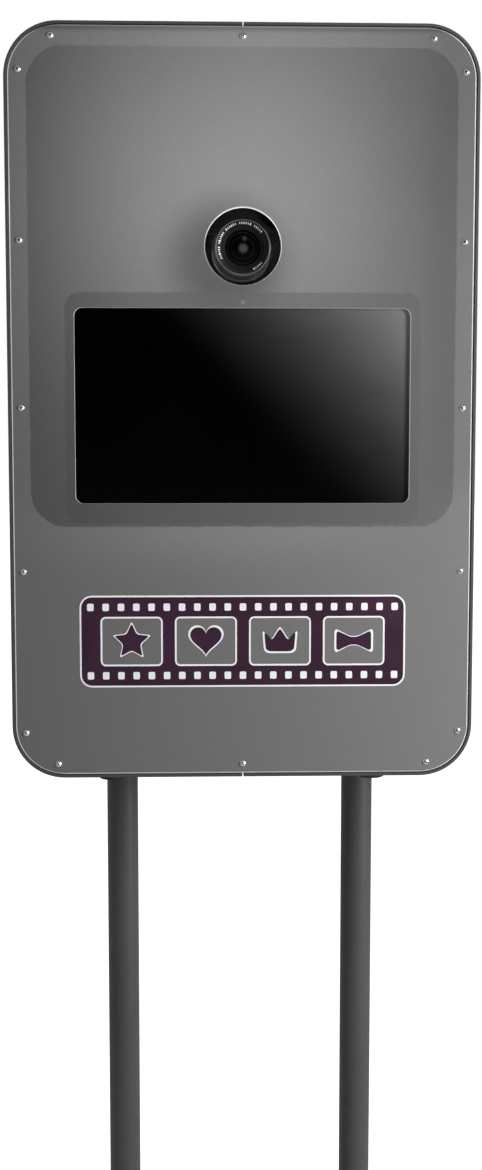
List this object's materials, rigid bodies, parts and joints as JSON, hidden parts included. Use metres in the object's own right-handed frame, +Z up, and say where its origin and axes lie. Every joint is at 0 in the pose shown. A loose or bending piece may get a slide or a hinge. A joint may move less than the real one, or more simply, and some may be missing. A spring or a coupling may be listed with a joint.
{
  "type": "photo booth",
  "caption": "Free-standing photo booth: a shallow rounded metal head with a camera hole, touch screen and lit acrylic front, carried on two round tubes over a flat base plate.",
  "frame": {"origin": "on the floor, under the middle of the head and base plate", "axes": "+Z up, the front with the screen faces -Y, +X to the right as seen from the front"},
  "size_m": [0.56, 0.42, 1.7468],
  "materials": {
    "powder_coat": "fine textured satin",
    "zinc_steel": "zinc plated",
    "bright_screw": "polished stainless",
    "white_paint": "matt",
    "grey_acrylic": "satin translucent",
    "decal_film": "satin",
    "black_rubber": "matt",
    "black_plastic": "fine grain",
    "screen_glass": "polished, black printed edge",
    "white_plastic": "matt",
    "led_phosphor": "satin",
    "black_paint": "satin",
    "bare_aluminium": "satin",
    "circuit_green": "satin",
    "red_plastic": "gloss",
    "camera_plastic": "fine grain",
    "lens_coating": "coated"
  },
  "bodies": {
    "stand": {"base_plate": "powder_coat", "base_feet": "black_rubber", "base_sockets": "powder_coat", "base_fasteners": "zinc_steel", "left_tube": "powder_coat", "right_tube": "powder_coat"},
    "head": {"left_housing": "powder_coat", "right_housing": "powder_coat", "top_splice": "zinc_steel", "floor_plate": "zinc_steel", "machine_screws": "bright_screw", "front_frame": "white_paint", "rear_frame": "powder_coat", "frame_brackets": "zinc_steel", "front_panel": "grey_acrylic", "panel_screws": "bright_screw", "decal": "decal_film", "head_sockets": "powder_coat", "head_socket_bolts": "zinc_steel", "head_feet": "black_rubber", "touch_glass": "screen_glass", "lcd_panel": "black_plastic", "monitor_housing": "black_plastic", "monitor_rails": "zinc_steel", "light_tray": "white_paint", "led_boards": "white_plastic", "led_chips": "led_phosphor", "pc_case": "black_paint", "power_supply_case": "bare_aluminium", "circuit_boards": "circuit_green", "power_inlet": "black_plastic", "inlet_pins": "bright_screw", "camera_bracket": "zinc_steel", "frame_hinge_leaves": "zinc_steel", "hinge_pins": "bright_screw", "door_seal": "black_rubber"},
    "left_clamp": {"left_clamp_knob": "black_plastic"},
    "right_clamp": {"right_clamp_knob": "black_plastic"},
    "camera": {"camera_cradle": "black_paint", "camera_fasteners": "zinc_steel", "camera_body": "camera_plastic", "camera_screen": "screen_glass", "lens_barrel": "camera_plastic"},
    "tilt_clamp": {"tilt_knob": "black_plastic"},
    "zoom": {"zoom_ring": "black_rubber"},
    "lens_front": {"front_barrel": "camera_plastic", "lens_glass": "lens_coating"},
    "shutter": {"shutter_button": "bright_screw"},
    "dial": {"mode_dial": "camera_plastic"},
    "door": {"rear_door": "powder_coat", "door_hinge_leaves": "zinc_steel", "lock_bodies": "bright_screw", "fan_frame": "black_plastic", "fan_guard": "bright_screw"},
    "upper_lock": {"upper_lock_cam": "zinc_steel"},
    "lower_lock": {"lower_lock_cam": "zinc_steel"},
    "fan": {"fan_rotor": "black_plastic"},
    "computer_button": {"pc_button": "bright_screw"},
    "mains_switch": {"power_switch": "red_plastic"}
  },
  "joints": [
    {"name": "head_lift", "type": "slide", "parent": "stand", "child": "head", "axis": [0, 0, 1], "range_m": [0, 0.16]},
    {"name": "left_clamp_turn", "type": "hinge", "parent": "head", "child": "left_clamp", "pos_m": [-0.145, 0, 0.973], "axis": [0, 1, 0], "range_deg": [-360, 90]},
    {"name": "right_clamp_turn", "type": "hinge", "parent": "head", "child": "right_clamp", "pos_m": [0.145, 0, 0.973], "axis": [0, 1, 0], "range_deg": [-360, 90]},
    {"name": "door_swing", "type": "hinge", "parent": "head", "child": "door", "pos_m": [-0.225, 0.122, 1.321], "axis": [0, 0, 1], "range_deg": [0, 110]},
    {"name": "upper_lock_turn", "type": "hinge", "parent": "door", "child": "upper_lock", "pos_m": [0.195, 0.115, 1.565], "axis": [0, 1, 0], "range_deg": [0, 90]},
    {"name": "lower_lock_turn", "type": "hinge", "parent": "door", "child": "lower_lock", "pos_m": [0.195, 0.115, 1.077], "axis": [0, 1, 0], "range_deg": [0, 90]},
    {"name": "fan_spin", "type": "hinge", "parent": "door", "child": "fan", "pos_m": [0, 0.103, 1.615], "axis": [0, 1, 0], "continuous": true},
    {"name": "camera_tilt", "type": "hinge", "parent": "head", "child": "camera", "pos_m": [0, -0.018, 1.444], "axis": [1, 0, 0], "range_deg": [-4, 4]},
    {"name": "tilt_clamp_turn", "type": "hinge", "parent": "camera", "child": "tilt_clamp", "pos_m": [0.05, -0.018, 1.444], "axis": [1, 0, 0], "range_deg": [-180, 180]},
    {"name": "zoom_turn", "type": "hinge", "parent": "camera", "child": "zoom", "pos_m": [0, -0.067, 1.501], "axis": [0, 1, 0], "range_deg": [0, 70]},
    {"name": "zoom_extend", "type": "slide", "parent": "camera", "child": "lens_front", "axis": [0, -1, 0], "range_m": [0, 0.0119]},
    {"name": "shutter_press", "type": "slide", "parent": "camera", "child": "shutter", "axis": [0, 0, -1], "range_m": [0, 0.0012], "stiffness_N_per_m": 400, "springref_m": -0.001},
    {"name": "mode_dial_turn", "type": "hinge", "parent": "camera", "child": "dial", "pos_m": [-0.048, -0.01, 1.529], "axis": [0, 0, 1], "continuous": true},
    {"name": "computer_button_press", "type": "slide", "parent": "head", "child": "computer_button", "axis": [0, 0, -1], "range_m": [0, 0.0015], "stiffness_N_per_m": 400, "springref_m": -0.001},
    {"name": "mains_switch_rock", "type": "hinge", "parent": "head", "child": "mains_switch", "pos_m": [0.0835, 0.078, 0.9025], "axis": [1, 0, 0], "range_deg": [-20, 0]}
  ],
  "couplings": [
    {"joint": "zoom_turn", "follows": "zoom_extend", "rad_per_m": 102.6}
  ]
}
